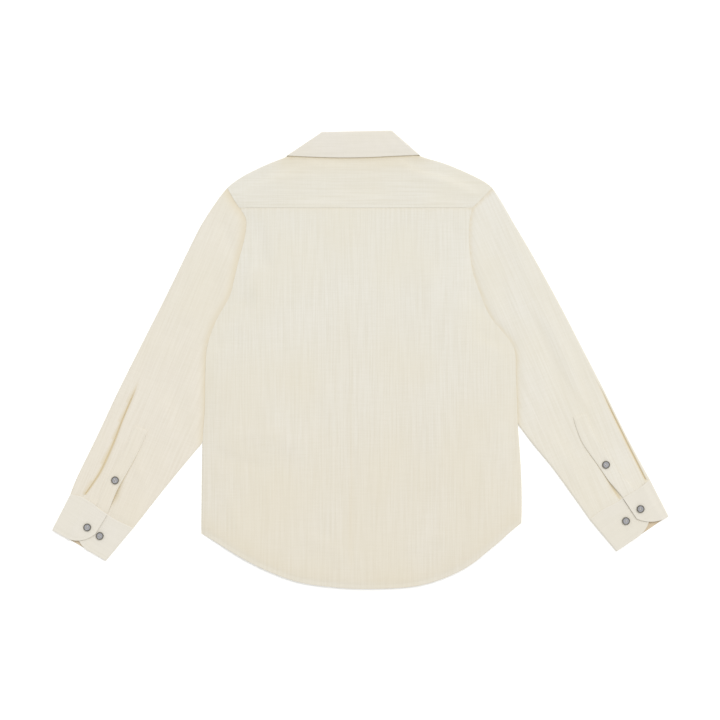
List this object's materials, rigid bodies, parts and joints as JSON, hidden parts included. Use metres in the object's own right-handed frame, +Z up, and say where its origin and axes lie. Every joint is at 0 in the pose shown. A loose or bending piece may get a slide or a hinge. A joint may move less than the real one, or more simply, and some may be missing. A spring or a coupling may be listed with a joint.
{
  "type": "long-sleeve shirt",
  "caption": "Long-sleeve button-up shirt laid flat with its back up: yoke, turned-down collar, curved hem, and button cuffs with slit plackets.",
  "frame": {"origin": "middle of the bounding box at the surface that the shirt lies on", "axes": "+X from the wearer's left cuff to the right cuff, +Y from the hem towards the collar, +Z up out of the back"},
  "size_m": [0.9238, 0.6864, 0.0078],
  "materials": {
    "shirting": "slubbed plain weave, matt with a faint sheen",
    "interlined_shirting": "the same cloth, interlined and pressed",
    "buttons": "smoked pearl, polished"
  },
  "bodies": {
    "root": {"back": "shirting", "yoke": "shirting", "front_left": "shirting", "front_right": "shirting", "front_band": "interlined_shirting", "collar_leaf": "interlined_shirting", "collar_stand": "interlined_shirting", "sleeve_left": "shirting", "sleeve_right": "shirting", "placket_left": "shirting", "placket_right": "shirting", "cuff_left": "interlined_shirting", "cuff_right": "interlined_shirting", "button_cuff_over_left": "buttons", "button_cuff_under_left": "buttons", "button_cuff_over_right": "buttons", "button_cuff_under_right": "buttons", "button_placket_left": "buttons", "button_placket_right": "buttons", "button_front_1": "buttons", "button_front_2": "buttons", "button_front_3": "buttons", "button_front_4": "buttons", "button_front_5": "buttons", "button_front_6": "buttons", "button_front_7": "buttons", "button_stand": "buttons"}
  },
  "joints": []
}
